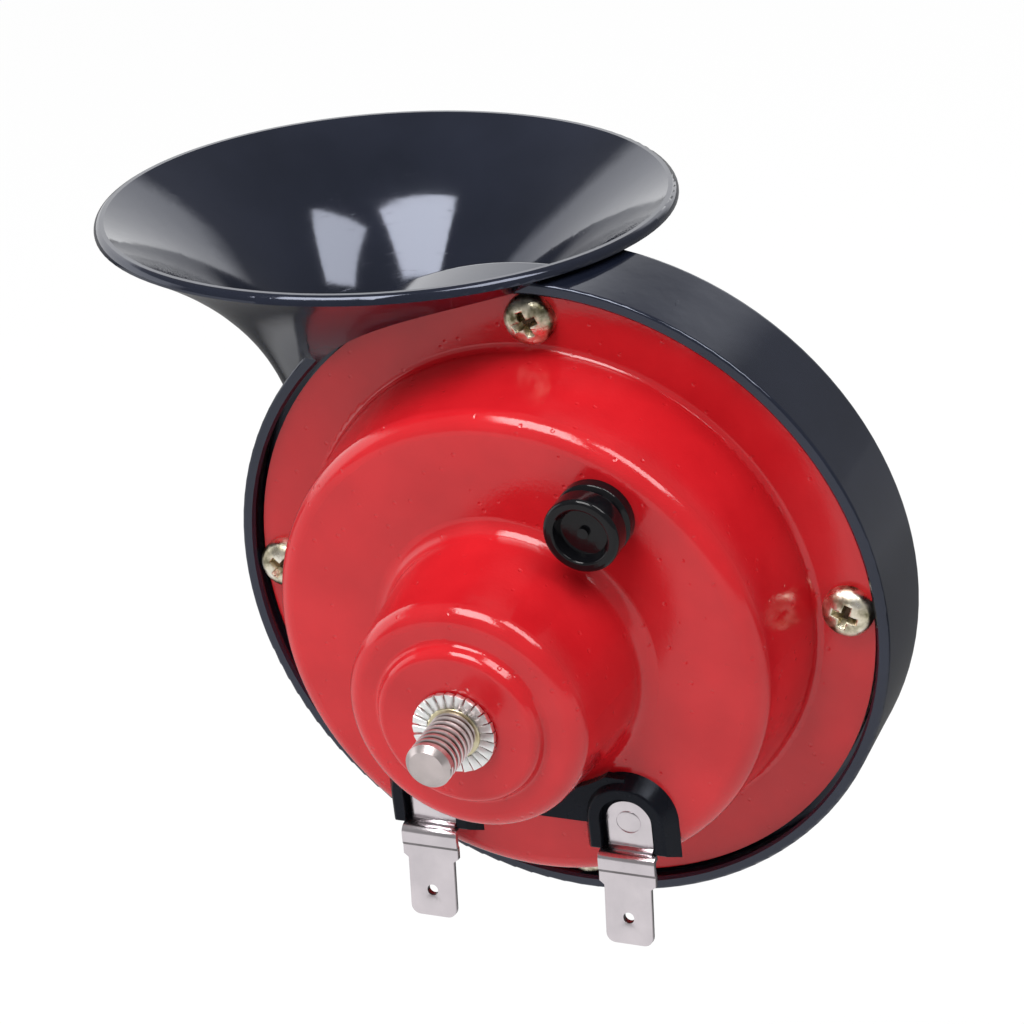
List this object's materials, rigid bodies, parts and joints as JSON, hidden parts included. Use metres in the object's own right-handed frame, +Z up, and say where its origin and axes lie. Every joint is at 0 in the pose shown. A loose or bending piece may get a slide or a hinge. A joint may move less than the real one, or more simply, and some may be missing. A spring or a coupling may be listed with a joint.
{
  "type": "car horn",
  "caption": "Snail-shaped electric car horn: red stamped steel magnet housing with a mounting stud and blade terminals on a black moulded trumpet",
  "frame": {"origin": "on the stud's axis, in the outer plane of the toothed washer, where a bracket seats", "axes": "-Y along the stud, away from the housing; +Y towards the trumpet; +Z up, the way the bell opens; +X to the right seen from the stud side"},
  "size_m": [0.1094, 0.1007, 0.0915],
  "materials": {
    "body_plastic": "glossy moulded black plastic",
    "gasket": "oiled gasket paper",
    "spring_steel": "rolled spring steel",
    "red_enamel": "glossy red enamel on stamped steel",
    "yellow_zinc": "steel, yellow zinc plate",
    "zinc_steel": "steel, clear zinc plate",
    "bobbin_plastic": "natural nylon",
    "enamelled_wire": "enamelled copper wire",
    "plain_steel": "machined steel",
    "fibre": "laminated fibre",
    "phosphor_bronze": "rolled phosphor bronze",
    "contact_metal": "tungsten contact",
    "cap_rubber": "black rubber, slight sheen",
    "terminal_plastic": "black moulded plastic",
    "blade_metal": "nickel-plated brass"
  },
  "bodies": {
    "horn": {"trumpet_body": "body_plastic", "sound_plate": "body_plastic", "rear_gasket": "gasket", "diaphragm": "spring_steel", "front_gasket": "gasket", "cover": "red_enamel", "cover_screws": "yellow_zinc", "core_stud": "zinc_steel", "lock_washer": "zinc_steel", "coil_bobbin": "bobbin_plastic", "coil_winding": "enamelled_wire", "pole_plate": "plain_steel", "breaker_insulators": "fibre", "breaker_clamp": "plain_steel", "breaker_spring": "phosphor_bronze", "contact_arm": "plain_steel", "moving_contact": "contact_metal", "fixed_contact": "contact_metal", "breaker_rivets": "plain_steel", "adjuster_nut": "zinc_steel", "adjuster_screw": "zinc_steel", "adjuster_cap": "cap_rubber", "terminal_carrier": "terminal_plastic", "terminal_left": "blade_metal", "terminal_right": "blade_metal", "terminal_rivets": "blade_metal", "terminal_insulator": "fibre", "terminal_lug_left": "blade_metal", "terminal_lug_right": "blade_metal", "lead_coil_terminal": "enamelled_wire", "lead_coil_breaker": "enamelled_wire", "lead_breaker_terminal": "enamelled_wire"},
    "armature": {"armature": "plain_steel", "diaphragm_washer": "spring_steel"}
  },
  "joints": [
    {"name": "armature_stroke", "type": "slide", "parent": "horn", "child": "armature", "axis": [0, -1, 0], "range_m": [0, 0.0004], "stiffness_N_per_m": 2000, "deforming": ["diaphragm", "breaker_spring"]}
  ]
}
